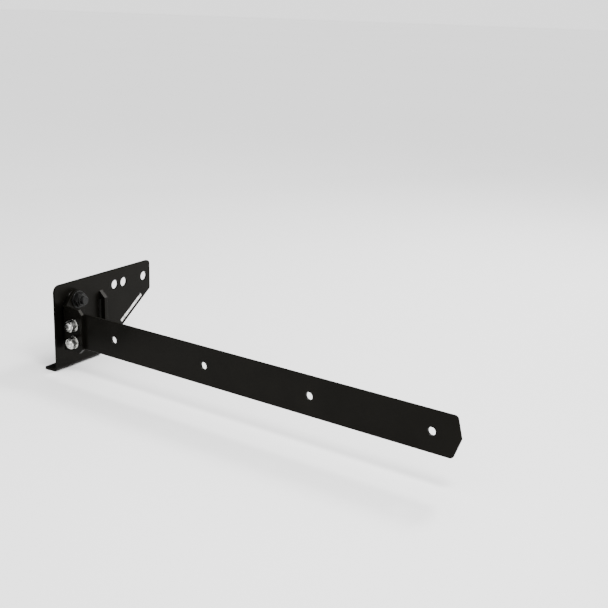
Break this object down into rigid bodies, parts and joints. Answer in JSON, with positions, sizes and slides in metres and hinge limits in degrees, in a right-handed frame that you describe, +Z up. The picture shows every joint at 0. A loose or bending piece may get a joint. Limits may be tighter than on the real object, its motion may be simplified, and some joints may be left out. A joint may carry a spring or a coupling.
{
  "type": "side-mounted bracket with swinging arm",
  "caption": "Steel bracket: a tapered plate bolts flat against a member, and a long drilled flat-bar arm swings about a pivot bolt on its front.",
  "frame": {"origin": "centre of the mounting hole nearest the hinge, on the plate's back face", "axes": "+Z up, +Y along the plate towards its tapered end, +X out of the plate's front, the way the arm reaches"},
  "size_m": [0.6501, 0.2396, 0.1243],
  "materials": {
    "black_coat": "semi-gloss black powder coat",
    "white_paint": "matt white paint",
    "black_steel": "black oxide",
    "plain_steel": "turned",
    "zinc": "bright zinc plate",
    "nylon": "matt"
  },
  "bodies": {
    "base": {"mounting_plate": "black_coat", "stop_bar": "black_coat", "stop_bar_welds": "black_coat", "label_strip": "white_paint", "pivot_bolt": "black_steel", "pivot_back_washer": "black_steel", "pivot_bushing": "plain_steel", "pivot_front_washer": "black_steel", "pivot_nut": "black_steel", "pivot_nut_insert": "nylon"},
    "swing_arm": {"swing_bracket": "black_coat", "arm": "black_coat", "arm_bolt_lower": "zinc", "arm_lock_washer_lower": "zinc", "arm_nut_lower": "zinc", "arm_bolt_upper": "zinc", "arm_lock_washer_upper": "zinc", "arm_nut_upper": "zinc"}
  },
  "joints": [
    {"name": "arm_swing", "type": "hinge", "parent": "base", "child": "swing_arm", "pos_m": [0.009, -0.0866, -0.0017], "axis": [1, 0, 0], "range_deg": [-90, 45]}
  ]
}
